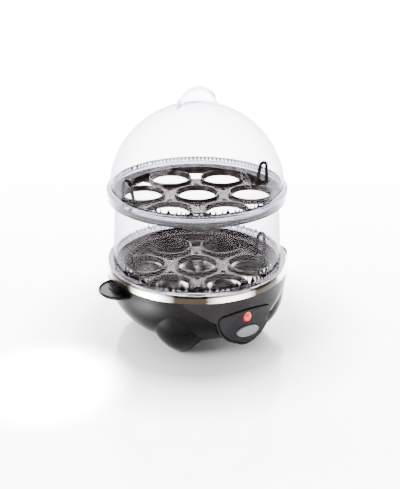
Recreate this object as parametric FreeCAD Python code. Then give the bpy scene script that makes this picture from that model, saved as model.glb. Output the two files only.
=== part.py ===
import FreeCAD, Part
import math
import os

# Two-tier electric egg boiler. Millimetres, +Z up, front towards -Y.
# The origin is on the table, under the middle of the round bowl.

V = FreeCAD.Vector
UP = V(0, 0, 1)
ALONG_X = V(1, 0, 0)
ALONG_Y = V(0, 1, 0)
CENTRE = V(0, 0, 0)
EIGHTH = 45
QUARTER = 2 * EIGHTH
HALF = 2 * QUARTER
FULL = 2 * HALF

# Shared values
overrun = 5.0
face_gap = 0.3
seat_gap = 0.15

# Bowl
foot_height = 8.0
rim_z = 62.0
housing_radius = 82.3
housing_wall = 2.5
bowl_arc_drop = 4.5
bowl_floor_dip = 2.0
floor_thickness = 2.5

# Foot lobes and pads
foot_inset = 30.3
foot_tip_z = 1.2
foot_tip_radius = 6.0
foot_waist_z = 12.0
foot_waist_radius = 18.0
foot_shoulder_z = 37.0
foot_shoulder_radius = 28.3
foot_crown_z = 52.0
foot_crown_radius = 30.0
foot_angles = (43, 137, 223, 317)
pad_radius = 4.8
pad_depth = 2.0
pad_edge = 0.6

# Steel heating pan
steel = 0.8
skirt_overlap = 0.4
skirt_height = 6.3
skirt_bend = 1.5
pan_land = 4.4
pan_lip_bend = 1.5
pan_step_depth = 7.0
pan_step_bend = 0.4
pan_step_width = 6.2
dish_edge_bend = 1.5
dish_depth = 9.8
dish_corner = 3.0
stud_inset = 9.7
stud_radius = 2.0
stud_length = 14.5
stud_angles = (90, 210, 330)
pillar_radius = 5.0
pillar_height = 9.0
pillar_drop = 0.3
pillar_hole_gap = 0.4
rib_thickness = 2.6
nut_sides = 6
nut_radius = 3.9
nut_height = 3.0
nut_gap = 0.05

# Locating collar and gasket under the steel rim
collar_thickness = 2.2
collar_root_depth = 4.0
gasket_thickness = 1.6

# Heating element, thermostat and fuse under the pan
diffuser_outer_radius = 36.0
diffuser_inner_radius = 14.0
diffuser_thickness = 4.0
element_circle_radius = 27.0
element_tube_radius = 3.2
element_sink = 1.07
element_start = 112.0
element_sweep = 316.0
element_leg = 9.0
element_blade_width = 6.3
element_blade_thickness = 0.8
element_blade_length = 8.0
thermostat_radius = 8.0
thermostat_height = 7.5
thermostat_flange_radius = 10.5
thermostat_flange = 1.6
thermostat_blade_spread = 5.0
clip_width = 5.0
clip_thickness = 0.8
clip_foot_radius = 19.2
clip_foot_length = 6.0
clip_head_radius = 2.6
clip_head_height = 1.4
fuse_radius = 2.2
fuse_length = 14.0
fuse_lead_radius = 0.5
fuse_lead_length = 6.0
fuse_offset = 33.0

# Bottom cover
cover_radius = 34.0
cover_lip = 3.0
cover_thickness = 1.5
cover_gap = 0.3
cover_tab_reach = 3.0
cover_tab_radius = 5.5
cover_tab_angles = (0, 90, 180, 270)
vent_width = 2.4
vent_length = 14.0
vent_circle = 19.0
vent_count = 8
screw_radius = 1.5
screw_gap = 0.25
screw_length = 10.0
screw_head_radius = 3.2
screw_head_height = 1.8
slot_width = 0.9
slot_depth = 0.8
boss_radius = 4.0
boss_height = 10.0

# Side handles
ear_root_depth = 2.3
ear_reach = 16.4
ear_half_width = 20.0
ear_top_drop = 4.5
ear_thickness = 3.0
ear_edge = 0.8
ear_border = 1.6
ear_dish_depth = 1.1
ear_bracket_height = 6.0
ear_bracket_share = 0.55
ear_bracket_foot_share = 0.30
ear_tab_width = 14.0
ear_tab_height = 2.4
ear_tab_length = 6.0

# Front console, panel, lens and button
apron_proud = 0.5
apron_half_width = 52.0
apron_brow_z = 59.0
apron_foot_z = 42.0
console_margin = 2.2
panel_proud = 1.7
panel_thickness = 4.2
panel_back_gap = 0.2
panel_side_gap = 1.1
panel_top_z = 51.2
panel_shoulder_z = 48.6
panel_side_z = 43.2
panel_waist_z = 31.1
panel_toe_z = 22.4
panel_bottom_z = 19.6
panel_half_width = 25.6
panel_shoulder_half = 20.4
panel_waist_half = 21.6
panel_toe_half = 9.0
panel_corner_share = 0.30
panel_edge = 0.7
lens_z = 44.3
lens_half_width = 4.1
lens_half_height = 4.9
lens_proud = 2.6
lens_barrel_depth = 13.0
lamp_radius = 2.4
lamp_gap = 0.33
lamp_setback = 1.0
lamp_length = 11.0
lamp_lead_radius = 0.4
lamp_lead_length = 6.0
lamp_lead_root = 1.0
lamp_lead_spread = 1.3
button_z = 31.4
button_half_width = 11.0
button_half_height = 5.0
button_proud = 2.0
button_crown = 0.7
button_gap = 0.3
button_flange_lip = 1.3
button_flange_thickness = 1.2
button_travel = 2.0
button_stem_radius = 1.9
button_stem_gap = 0.35
front_opening_gap = 0.7
spring_radius = 3.4
spring_wire = 0.35
spring_quarters = 14
spring_length = 5.2
switch_half_width = 9.5
switch_half_height = 6.5
switch_depth = 15.0
switch_bore_depth = 5.0
switch_blade_length = 6.0
switch_blade_spread = 5.0
bracket_thickness = 1.2
bracket_border = 0.6
bracket_half_height = 6.5
post_gap = 0.5
post_radius = 2.8

# Rear cord inlet
inlet_z = 34.0
inlet_boss_radius = 11.0
inlet_boss_depth = 16.0
inlet_flange_radius = 8.5
inlet_flange_thickness = 2.6
inlet_neck_radius = 6.2
inlet_neck_length = 14.8
inlet_clip = 0.8
inlet_clip_length = 2.0
inlet_bore_radius = 3.6
inlet_nose_radius = 6.4

# Terminal block on the bottom cover
block_half_width = 13.0
block_half_depth = 6.0
block_height = 8.0
block_y = 14.0
barrel_pitch = 8.0
barrel_radius = 3.0
barrel_height = 4.0
barrel_screw_radius = 1.9

# Internal leads
lead_radius = 1.1
lead_bend = 5.0
lead_bend_share = 0.45
lead_low_z = 24.0
lead_dip_z = 23.0
lead_side_x = 21.0
lead_front_y = -30.0
lead_turn_y = -42.0
lead_slack_y = -22.0

# Egg trays
tray_rim_gap = 0.5
tray_rim_thickness = 2.5
tray_rim_width = 10.8
tray_spigot_inset = 7.0
tray_floor_drop = 1.6
tray_floor = 2.0
seat_collar_radius = 19.8
seat_collar_height = 2.6
seat_mouth_radius = 18.5
seat_throat_radius = 16.5
seat_edge_gap = 0.1
seat_angles = (30, 90, 150, 210, 270, 330)
steam_hole_radius = 2.8
steam_hole_angles = (0, 60, 120, 180, 240, 300)
cutout_outer_inset = 2.6
cutout_inner_inset = 22.6
cutout_half_width = 10.5
cutout_margin = 0.4
cutout_angles = (60, 120, 240, 300)
side_hole_radius = 2.0
side_hole_inset = 8.6
side_hole_angles = (177, 357)

# Lifting loops of the trays
loop_angles = (171, 351)
loop_bar_radius = 1.6
loop_height = 23.8
loop_arch_radius = 3.1
loop_arch_inset = 1.2
loop_outer_reach = 2.8
loop_inner_inset = 8.1
loop_slot_outer_inset = 0.6
loop_slot_inner_inset = 4.8
loop_slot_half_width = 6.0

# Clear tier ring
tier_pitch = 69.7
clear_wall = 1.8
ring_flange_inset = 0.9
ring_flange_height = 3.5
ring_foot_inset = 5.8
ring_neck_inset = 9.1
ring_collar_inset = 2.5
ring_collar_height = 5.0
ring_round = 1.0
lip_gap = 0.3
lip_depth = 1.3

# Clear dome lid and its fin
dome_flange_reach = 0.6
dome_flange_height = 3.4
dome_wall = 2.0
dome_wall_inset = 3.1
dome_shoulder_inset = 26.7
dome_crown_reach = 1.3
dome_apex_height = 76.7
dome_foot_round = 1.8
fin_half_length = 20.0
fin_height = 14.8
fin_rim = 2.6
fin_rim_thickness = 4.6
fin_web_thickness = 2.0
fin_sink = 0.1

# Heights worked out from the sizes above
bowl_arc_z = rim_z - bowl_arc_drop
bowl_arc_radius = bowl_arc_z - foot_height + bowl_floor_dip
floor_top_z = foot_height + floor_thickness
skirt_top_z = rim_z + skirt_height
lower_seat_z = skirt_top_z - pan_step_depth
dish_floor_z = lower_seat_z - dish_depth
dish_under_z = dish_floor_z - steel
element_z = dish_under_z - diffuser_thickness
ring_z = skirt_top_z
upper_seat_z = lower_seat_z + tier_pitch
ring_step_z = upper_seat_z - clear_wall
dome_z = upper_seat_z + ring_collar_height
apex_z = dome_z + dome_apex_height
pillar_top_z = dish_under_z - pillar_drop

# Radii and reaches worked out from the sizes above
bowl_arc_centre_r = housing_radius - bowl_arc_radius
foot_circle_radius = housing_radius - foot_inset
skirt_radius = housing_radius + skirt_overlap
pan_wall_radius = housing_radius - pan_land
dish_radius = pan_wall_radius - pan_step_width
collar_inner_radius = pan_wall_radius + steel + face_gap
collar_outer_radius = collar_inner_radius + collar_thickness
stud_circle_radius = dish_radius - stud_inset
cover_tab_circle = cover_radius + cover_tab_reach
panel_radius = housing_radius + panel_proud
panel_back_radius = panel_radius - panel_thickness
console_face_radius = panel_back_radius - panel_back_gap
console_inner_radius = console_face_radius - housing_wall
front_reach = panel_radius + button_proud
flange_back_y = -console_face_radius + 2 * button_flange_thickness
switch_front_y = flange_back_y + spring_length
switch_back_y = switch_front_y + switch_depth
post_spread = button_half_width + button_flange_lip + post_gap + post_radius
bracket_half_width = post_spread + post_radius + bracket_border
tray_rim_radius = pan_wall_radius - tray_rim_gap
tray_recess_radius = tray_rim_radius - tray_rim_width
tray_spigot_radius = tray_rim_radius - tray_spigot_inset
egg_pitch = tray_recess_radius - seat_mouth_radius - seat_edge_gap
steam_hole_circle = egg_pitch / (2 * math.cos(math.radians(seat_angles[0])))
ring_foot_radius = housing_radius - ring_foot_inset
ring_neck_radius = housing_radius - ring_neck_inset
ring_collar_radius = housing_radius - ring_collar_inset
ring_flange_radius = housing_radius - ring_flange_inset
dome_flange_radius = ring_collar_radius + dome_flange_reach
dome_wall_radius = ring_collar_radius - dome_wall_inset
dome_shoulder_radius = dome_wall_radius - dome_shoulder_inset
dome_crown_radius = dome_wall_radius + dome_crown_reach

def on_circle(radius, degrees, z=0.0):
    """Point on a level circle about the Z axis, counted from +X."""
    turn = math.radians(degrees)
    return V(radius * math.cos(turn), radius * math.sin(turn), z)


def outline(start, *steps):
    """Closed wire. A step of one point is a line, and one of two points is an arc."""
    edges = []
    here = start
    for step in steps:
        if len(step) == 2:
            edges.append(Part.Arc(here, step[0], step[1]).toShape())
        else:
            edges.append(Part.LineSegment(here, step[0]).toShape())
        here = step[-1]
    if here.distanceToPoint(start) > Part.Vertex(start).Tolerance:
        edges.append(Part.LineSegment(here, start).toShape())
    return Part.Wire(edges)


def rz(radius, z):
    """Point of a turned profile."""
    return V(radius, 0, z)


def bend(centre_r, centre_z, radius, middle_angle, end_angle):
    """Arc step of a turned profile: its middle and end points about a centre."""
    points = []
    for angle in (middle_angle, end_angle):
        turn = math.radians(angle)
        points.append(rz(centre_r + radius * math.cos(turn), centre_z + radius * math.sin(turn)))
    return tuple(points)


def turned(start, *steps):
    """Solid of revolution about the Z axis."""
    return Part.Face(outline(start, *steps)).revolve(CENTRE, UP, FULL)


def rod(radius, start, end):
    """Round bar from one point to another."""
    along = end - start
    return Part.makeCylinder(radius, along.Length, start, along)


def block(x_half, y_low, y_high, z_low, z_high, x_middle=0.0):
    """Box that is even about x_middle."""
    corner = V(x_middle - x_half, y_low, z_low)
    return Part.makeBox(2 * x_half, y_high - y_low, z_high - z_low, corner)


def oval(half_width, half_height, z_middle, y_low, y_high):
    """Upright oval bar along Y."""
    edge = ellipse(V(0, y_low, z_middle), ALONG_X * half_width, UP * half_height)
    return Part.Face(Part.Wire([edge])).extrude(V(0, y_high - y_low, 0))


def ellipse(centre, first, second):
    """Ellipse edge about a centre, from its two half axes in either order."""
    if first.Length < second.Length:
        first, second = second, first
    return Part.Ellipse(centre + first, centre + second, centre).toShape()


def mirrored_x(shape):
    """Copy of a shape on the other side of the YZ plane."""
    return shape.mirror(CENTRE, ALONG_X)


def spun(shape, degrees):
    """Copy of a shape turned about the Z axis."""
    copy = shape.copy()
    copy.rotate(CENTRE, UP, degrees)
    return copy


def around(shape, angles):
    """Copies of a shape made at +X, turned to each angle."""
    return [spun(shape, angle) for angle in angles]


def joined(first, others):
    """First solid fused with the others and tidied."""
    return first.fuse(others).removeSplitter()


# Base housing

def bowl(inset, bottom_z, top_z):
    """Solid bowl of the housing's outside, or of its inside with an inset."""
    radius = bowl_arc_radius - inset
    end = math.degrees(math.asin((bottom_z - bowl_arc_z) / radius))
    wall_r = housing_radius - inset
    return turned(
        rz(0, bottom_z),
        (rz(0, top_z),),
        (rz(wall_r, top_z),),
        (rz(wall_r, bowl_arc_z),),
        bend(bowl_arc_centre_r, bowl_arc_z, radius, end / 2, end),
    )


def panel_wire(grow=0.0):
    """Shield outline of the panel in the XZ plane, grown evenly by an offset."""
    shoulder = V(panel_shoulder_half, 0, panel_shoulder_z)
    side = V(panel_half_width, 0, panel_side_z)
    corner_x = panel_half_width - panel_corner_share * (panel_half_width - panel_shoulder_half)
    corner_z = panel_shoulder_z - panel_corner_share * (panel_shoulder_z - panel_side_z)
    toe = V(panel_toe_half, 0, panel_toe_z)

    def other(point):
        return V(-point.x, point.y, point.z)

    corner = V(corner_x, 0, corner_z)
    waist = V(panel_waist_half, 0, panel_waist_z)
    wire = outline(
        other(shoulder),
        (V(0, 0, panel_top_z), shoulder),
        (corner, side),
        (waist, toe),
        (V(0, 0, panel_bottom_z), other(toe)),
        (other(waist), other(side)),
        (other(corner), other(shoulder)),
    )
    return wire.makeOffset2D(grow) if grow else wire


def front_prism(wire):
    """Outline pushed out to the front, past everything."""
    return Part.Face(wire).extrude(V(0, -front_reach - overrun, 0))


def apron_wire(inset=0.0):
    """Apron above the panel, from the steel rim down to the panel's shoulders."""
    top_half = apron_half_width - inset
    foot_half = panel_half_width + console_margin - inset
    return outline(
        V(-top_half, 0, rim_z),
        (V(top_half, 0, rim_z),),
        (V(top_half, 0, apron_brow_z),),
        (V(foot_half, 0, apron_foot_z),),
        (V(-foot_half, 0, apron_foot_z),),
        (V(-top_half, 0, apron_brow_z),),
    )


def console(inset, radius):
    """Front console: the apron and the column behind the panel, up to a round face."""
    drum = Part.makeCylinder(radius, rim_z - foot_height, V(0, 0, foot_height))
    column = front_prism(panel_wire(console_margin - inset))
    return joined(front_prism(apron_wire(inset)), [column]).common(drum)


def rib_to_wall(radius, low_z, high_z, degrees):
    """Upright rib from a post out towards the bowl's wall."""
    foot = V(radius, -rib_thickness / 2, low_z)
    rib = Part.makeBox(housing_radius, rib_thickness, high_z - low_z, foot)
    return spun(rib, degrees)


def housing_shell():
    """Whole moulded shell: bowl, front console, locating collar and rear inlet boss."""
    boss_y = front_reach - inlet_flange_thickness
    rear_boss = rod(inlet_boss_radius, V(0, boss_y - inlet_boss_depth, inlet_z), V(0, boss_y, inlet_z))
    shell = joined(bowl(0.0, foot_height, rim_z), [console(0.0, housing_radius + apron_proud), rear_boss])
    cavity = bowl(housing_wall, floor_top_z, rim_z + overrun)
    shell = shell.cut(cavity.fuse(console(housing_wall, console_inner_radius)))

    root_radius = housing_radius - housing_wall / 2
    collar = turned(
        rz(collar_inner_radius, rim_z - collar_root_depth),
        (rz(root_radius, rim_z - collar_root_depth),),
        (rz(root_radius, rim_z),),
        (rz(collar_outer_radius, rim_z),),
        (rz(collar_outer_radius, skirt_top_z - steel - gasket_thickness),),
        (rz(collar_inner_radius, skirt_top_z - steel - gasket_thickness),),
    )
    shell = joined(shell, [collar])

    cuts = [cover_plate(cover_gap, -overrun, cover_thickness)]
    cuts.append(Part.makeCylinder(cover_radius - cover_lip, floor_thickness + overrun, V(0, 0, foot_height)))
    for angle in cover_tab_angles:
        spot = on_circle(cover_tab_circle, angle, foot_height)
        cuts.append(Part.makeCylinder(screw_radius + seat_gap, floor_thickness + overrun, spot))
    for side in (1, -1):
        cuts.append(ear_tab(side, seat_gap))
    cuts.append(panel_recess())
    opening_back = -console_inner_radius + overrun
    cuts.append(oval(button_half_width + button_flange_lip + front_opening_gap,
                     button_half_height + button_flange_lip + front_opening_gap,
                     button_z, -front_reach, opening_back))
    cuts.append(oval(lens_half_width + seat_gap, lens_half_height + seat_gap,
                     lens_z, -front_reach, opening_back))
    cuts.append(rod(inlet_neck_radius + seat_gap, V(0, front_reach, inlet_z), V(0, cover_radius, inlet_z)))
    for cut in cuts:
        shell = shell.cut(cut)
    return shell.removeSplitter()


def console_space(grow=0.0):
    """Space of the apron and the console's column, as seen from the front."""
    apron = front_prism(apron_wire(-grow))
    return joined(apron, [front_prism(panel_wire(console_margin + grow))])


def boss_space(grow=0.0):
    """Space of the inlet boss, through the rear wall."""
    return rod(inlet_boss_radius + grow, V(0, cover_radius, inlet_z), V(0, front_reach, inlet_z))


def foot_lobes():
    """Four bullet-shaped lobes, fitted to the outside of the bowl and the console."""
    lobe = turned(
        rz(0, foot_tip_z),
        (rz(0, foot_crown_z),),
        (rz(foot_crown_radius, foot_crown_z),),
        (rz(foot_shoulder_radius, foot_shoulder_z),),
        (rz(foot_waist_radius, foot_waist_z), rz(foot_tip_radius, foot_tip_z)),
    )
    pocket = Part.makeCylinder(pad_radius + seat_gap, pad_depth + overrun, V(0, 0, foot_tip_z - overrun))
    lobe = lobe.cut(pocket)
    lobe.translate(V(foot_circle_radius, 0, 0))
    bowl_space = bowl(-seat_gap, foot_height, rim_z)
    front_space = console(-seat_gap, housing_radius + apron_proud + seat_gap)
    lobes = []
    for copy in around(lobe, foot_angles):
        fitted = copy.cut(bowl_space).cut(front_space)
        lobes.append(max(fitted.Solids, key=lambda solid: solid.Volume))
    return Part.makeCompound(lobes)


def inner_posts():
    """Ribbed posts for the pan's studs and the cover's screws, and two for the switch."""
    inside = bowl(housing_wall + seat_gap, floor_top_z, rim_z)
    posts = []
    for angle in stud_angles:
        foot = on_circle(stud_circle_radius, angle, pillar_top_z - pillar_height)
        post = Part.makeCylinder(pillar_radius, pillar_height, foot)
        rib = rib_to_wall(stud_circle_radius, foot.z, pillar_top_z, angle)
        hole = Part.makeCylinder(stud_radius + pillar_hole_gap, pillar_height, foot)
        posts.append(joined(post, [rib]).common(inside).cut(hole))
    for angle in cover_tab_angles:
        foot = on_circle(cover_tab_circle, angle, floor_top_z)
        post = Part.makeCylinder(boss_radius, boss_height, foot)
        rib = rib_to_wall(cover_tab_circle, floor_top_z, floor_top_z + boss_height, angle)
        hole = Part.makeCylinder(screw_radius + seat_gap, boss_height, foot)
        posts.append(joined(post, [rib]).common(inside).cut(hole))
    drum = Part.makeCylinder(console_inner_radius - seat_gap, rim_z)
    for side in (-post_spread, post_spread):
        post = rod(post_radius, V(side, -console_inner_radius, button_z), V(side, switch_back_y, button_z))
        posts.append(post.common(drum))
    return Part.makeCompound(posts)


def panel_recess():
    """Space for the panel in the console's face, a little wider than the panel."""
    ring = Part.makeCylinder(front_reach, rim_z).cut(Part.makeCylinder(console_face_radius, rim_z))
    return front_prism(panel_wire(panel_side_gap)).common(ring)


def cover_plate(grow, low, high):
    """Round plate with four screw tabs, between two heights above the foot height."""
    disc = Part.makeCylinder(cover_radius + grow, high - low, V(0, 0, foot_height + low))
    tabs = []
    for angle in cover_tab_angles:
        spot = on_circle(cover_tab_circle, angle, foot_height + low)
        tabs.append(Part.makeCylinder(cover_tab_radius + grow, high - low, spot))
    return joined(disc, tabs)


def bottom_cover():
    """Flat cover with a spigot, vent slots and screw holes."""
    plate = cover_plate(0.0, 0.0, cover_thickness)
    spigot = Part.makeCylinder(cover_radius - cover_lip - cover_gap, floor_thickness, V(0, 0, foot_height))
    plate = joined(plate, [spigot])
    corner = V(vent_circle - vent_length / 2, -vent_width / 2, foot_height - overrun)
    slot = Part.makeBox(vent_length, vent_width, floor_thickness + 2 * overrun, corner)
    for count in range(vent_count):
        plate = plate.cut(spun(slot, (count + 1 / 2) * FULL / vent_count))
    for angle in cover_tab_angles:
        hole = Part.makeCylinder(screw_radius + screw_gap, 2 * overrun,
                                 on_circle(cover_tab_circle, angle, foot_height - overrun))
        plate = plate.cut(hole)
    return plate


def bottom_screws():
    """Four pan-head screws under the cover tabs."""
    head = turned(
        rz(0, -screw_head_height),
        (rz(screw_head_radius / 2, -screw_head_height),),
        (rz(screw_head_radius, -screw_head_height / 2),),
        (rz(screw_head_radius, 0),),
        (rz(screw_radius, 0),),
        (rz(screw_radius, screw_length),),
        (rz(0, screw_length),),
    )
    low = -screw_head_height
    screw = head.cut(block(screw_head_radius, -slot_width / 2, slot_width / 2, low, low + slot_depth))
    screw.translate(V(cover_tab_circle, 0, foot_height))
    return Part.makeCompound(around(screw, cover_tab_angles))


def rubber_feet():
    """Four round pads, pressed into the lobe tips."""
    pad = turned(
        rz(0, 0),
        (rz(pad_radius - pad_edge, 0),),
        (rz(pad_radius, pad_edge),),
        (rz(pad_radius, foot_tip_z + pad_depth),),
        (rz(0, foot_tip_z + pad_depth),),
    )
    pad.translate(V(foot_circle_radius, 0, 0))
    return Part.makeCompound(around(pad, foot_angles))


# Side handles

def ear_tab(side, grow=0.0):
    """Tab that passes through the housing wall."""
    middle = rim_z - ear_top_drop - ear_thickness / 2
    low = middle - ear_tab_height / 2 - grow
    corner = V(housing_radius - ear_tab_length - grow, -ear_tab_width / 2 - grow, low)
    width = ear_tab_width + 2 * grow
    tab = Part.makeBox(ear_tab_length + overrun, width, ear_tab_height + 2 * grow, corner)
    return tab if side > 0 else mirrored_x(tab)


def ear_section(share, z):
    """Oval outline of a handle at a height, of which the outer half is kept."""
    root = V(housing_radius - ear_root_depth, 0, z)
    reach = (ear_reach + ear_root_depth) * share
    return Part.Wire([ellipse(root, ALONG_X * reach, ALONG_Y * ear_half_width * share)])


def side_handle(side):
    """Flat leaf with a rounded edge and a shallow dish, a bracket below and a tab."""
    top = rim_z - ear_top_drop
    under = top - ear_thickness
    edge_share = 1 - ear_edge / ear_half_width
    border_share = 1 - ear_border / ear_half_width
    levels = [(edge_share, under), (1, under + ear_edge), (1, top - ear_edge), (edge_share, top)]
    slices = []
    for (low_share, low_z), (high_share, high_z) in zip(levels, levels[1:]):
        sections = [ear_section(low_share, low_z), ear_section(high_share, high_z)]
        slices.append(Part.makeLoft(sections, True, True))
    leaf = joined(slices[0], slices[1:])
    dish_share = border_share - ear_dish_depth / ear_half_width
    brim_share = border_share + ear_edge / ear_half_width
    dish = Part.makeLoft([ear_section(dish_share, top - ear_dish_depth),
                          ear_section(brim_share, top + ear_edge)], True, True)
    bracket = Part.makeLoft([ear_section(ear_bracket_foot_share, under - ear_bracket_height),
                             ear_section(ear_bracket_share, under + ear_edge)], True, True)
    body = joined(leaf.cut(dish), [bracket]).cut(bowl(-seat_gap, foot_height, rim_z))
    outer = Part.makeBox(front_reach, 2 * front_reach, rim_z, V(bowl_arc_radius, -front_reach, 0))
    body = joined(body.common(outer), [ear_tab(1)])
    return body if side > 0 else mirrored_x(body)


# Steel dish and what hangs under it

def heating_plate():
    """Pressed steel pan with a rolled rim, a ledge for the tray and three welded studs."""
    rim_r = skirt_radius - skirt_bend
    lip_r = pan_wall_radius + pan_lip_bend
    ledge_r = pan_wall_radius - pan_step_bend
    edge_r = dish_radius + dish_edge_bend
    floor_r = dish_radius - dish_corner
    rim_c = skirt_top_z - skirt_bend
    lip_c = skirt_top_z - pan_lip_bend
    ledge_c = lower_seat_z + pan_step_bend
    edge_c = lower_seat_z - dish_edge_bend
    floor_c = dish_floor_z + dish_corner
    pan = turned(
        rz(skirt_radius, rim_z),
        (rz(skirt_radius, rim_c),),
        bend(rim_r, rim_c, skirt_bend, EIGHTH, QUARTER),
        (rz(lip_r, skirt_top_z),),
        bend(lip_r, lip_c, pan_lip_bend, QUARTER + EIGHTH, HALF),
        (rz(pan_wall_radius, ledge_c),),
        bend(ledge_r, ledge_c, pan_step_bend, -EIGHTH, -QUARTER),
        (rz(edge_r, lower_seat_z),),
        bend(edge_r, edge_c, dish_edge_bend, QUARTER + EIGHTH, HALF),
        (rz(dish_radius, floor_c),),
        bend(floor_r, floor_c, dish_corner, -EIGHTH, -QUARTER),
        (rz(0, dish_floor_z),),
        (rz(0, dish_under_z),),
        (rz(floor_r, dish_under_z),),
        bend(floor_r, floor_c, dish_corner + steel, -EIGHTH, 0),
        (rz(dish_radius + steel, edge_c),),
        bend(edge_r, edge_c, dish_edge_bend - steel, QUARTER + EIGHTH, QUARTER),
        (rz(ledge_r, lower_seat_z - steel),),
        bend(ledge_r, ledge_c, pan_step_bend + steel, -EIGHTH, 0),
        (rz(pan_wall_radius + steel, lip_c),),
        bend(lip_r, lip_c, pan_lip_bend - steel, QUARTER + EIGHTH, QUARTER),
        (rz(rim_r, skirt_top_z - steel),),
        bend(rim_r, rim_c, skirt_bend - steel, EIGHTH, 0),
        (rz(skirt_radius - steel, rim_z),),
    )
    studs = []
    for angle in stud_angles:
        top = on_circle(stud_circle_radius, angle, dish_under_z)
        studs.append(rod(stud_radius, top, top - UP * stud_length))
    return joined(pan, studs)


def plate_gasket():
    """Sealing ring between the housing collar and the flat of the steel rim."""
    low = V(0, 0, skirt_top_z - steel - gasket_thickness)
    ring = Part.makeCylinder(skirt_radius - skirt_bend, gasket_thickness, low)
    return ring.cut(Part.makeCylinder(pan_wall_radius + pan_lip_bend, gasket_thickness, low))


def plate_nuts():
    """Hexagon nuts that pull the pan down onto the gasket."""
    nuts = []
    low = pillar_top_z - pillar_height - nut_height
    corners = [on_circle(nut_radius, count * FULL / nut_sides, low) for count in range(nut_sides + 1)]
    nut = Part.Face(Part.makePolygon(corners)).extrude(UP * nut_height)
    nut = nut.cut(Part.makeCylinder(stud_radius + nut_gap, nut_height, V(0, 0, low)))
    nut.translate(V(stud_circle_radius, 0, 0))
    return Part.makeCompound(around(nut, stud_angles))


def heating_element():
    """Cast disc with a bent tube in it, whose two ends turn down to blades."""
    disc = Part.makeCylinder(diffuser_outer_radius, diffuser_thickness, V(0, 0, element_z))
    disc = disc.cut(Part.makeCylinder(diffuser_inner_radius, diffuser_thickness, V(0, 0, element_z)))
    middle = element_z - element_sink
    section = Part.makeCircle(element_tube_radius, V(element_circle_radius, 0, middle), ALONG_Y)
    tube = Part.Face(Part.Wire([section])).revolve(CENTRE, UP, element_sweep)
    tube.rotate(CENTRE, UP, element_start)
    pieces = [tube]
    for angle in (element_start, element_start + element_sweep):
        top = on_circle(element_circle_radius, angle, element_z)
        foot = top - UP * element_leg
        pieces.append(rod(element_tube_radius, top, foot))
        corner = foot - V(element_blade_width / 2, element_blade_thickness / 2, element_blade_length)
        length = element_blade_length + element_leg
        pieces.append(Part.makeBox(element_blade_width, element_blade_thickness, length, corner))
    return joined(disc, pieces)


def thermostat():
    """Bimetal thermostat with a flange against the pan and two blades."""
    can_z = dish_under_z - thermostat_height
    flange_z = dish_under_z - thermostat_flange
    can = Part.makeCylinder(thermostat_radius, thermostat_height, V(0, 0, can_z))
    pieces = [Part.makeCylinder(thermostat_flange_radius, thermostat_flange, V(0, 0, flange_z))]
    half = element_blade_thickness / 2
    for side in (-thermostat_blade_spread, thermostat_blade_spread):
        pieces.append(block(element_blade_width / 2, side - half, side + half,
                            can_z - element_blade_length, flange_z))
    return joined(can, pieces)


def thermostat_clip():
    """Sprung strip under the thermostat, screwed to the cast disc on both sides."""
    strap_z = dish_under_z - thermostat_height
    foot_z = element_z - clip_thickness
    head_z = foot_z - clip_head_height
    half = clip_width / 2
    inner = thermostat_radius + seat_gap
    foot_length = clip_foot_radius + clip_foot_length / 2 - inner
    bar = block(inner + clip_thickness, -half, half, strap_z - clip_thickness, strap_z)
    pieces = []
    riser = Part.makeBox(clip_thickness, clip_width, element_z - strap_z + clip_thickness,
                         V(inner, -half, strap_z - clip_thickness))
    foot = Part.makeBox(foot_length, clip_width, clip_thickness, V(inner, -half, foot_z))
    head = rod(clip_head_radius, V(clip_foot_radius, 0, foot_z), V(clip_foot_radius, 0, head_z))
    slot = block(clip_head_radius, -slot_width / 2, slot_width / 2,
                 head_z, head_z + slot_depth, clip_foot_radius)
    for piece in (riser, foot, head.cut(slot)):
        pieces += [piece, mirrored_x(piece)]
    return joined(bar, pieces)


def thermal_fuse():
    """Fuse body with two leads, laid along the rim of the cast disc."""
    middle = element_z - fuse_radius - seat_gap / 2
    centre = V(0, -fuse_offset, middle)
    half = ALONG_X * (fuse_length / 2)
    reach = half + ALONG_X * fuse_lead_length
    body = rod(fuse_radius, centre - half, centre + half)
    return joined(body, [rod(fuse_lead_radius, centre - reach, centre + reach)])


# Front controls

def control_panel():
    """Curved shield plate with openings for the lens and the button."""
    ring = Part.makeCylinder(panel_radius, rim_z).cut(Part.makeCylinder(panel_back_radius, rim_z))
    plate = front_prism(panel_wire()).common(ring)
    front_edges = []
    for edge in plate.Edges:
        middle = edge.valueAt((edge.FirstParameter + edge.LastParameter) / 2)
        if math.hypot(middle.x, middle.y) > panel_radius - panel_edge:
            front_edges.append(edge)
    plate = plate.makeFillet(panel_edge, front_edges)
    plate = plate.cut(oval(lens_half_width + seat_gap, lens_half_height + seat_gap, lens_z,
                           -front_reach, -panel_back_radius + overrun))
    return plate.cut(oval(button_half_width + button_gap, button_half_height + button_gap, button_z,
                          -front_reach, -panel_back_radius + overrun))


def crown_arc(half, base, rise):
    """Arc step of a turned profile, from its rim up to a crown on the axis."""
    radius = (half ** 2 + rise ** 2) / (2 * rise)
    centre = base + rise - radius
    rim = math.degrees(math.atan2(base - centre, half))
    return bend(0, centre, radius, (rim + QUARTER) / 2, QUARTER)


def oval_turned(half_width, half_height, z_middle, start, *steps):
    """Turned piece that points to the front, with its round section drawn out to an oval."""
    body = turned(start, *steps)
    body.rotate(CENTRE, ALONG_X, QUARTER)
    stretch = FreeCAD.Matrix()
    stretch.A11 = half_width / half_height
    body = body.transformGeometry(stretch)
    body.translate(V(0, 0, z_middle))
    return body


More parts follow.
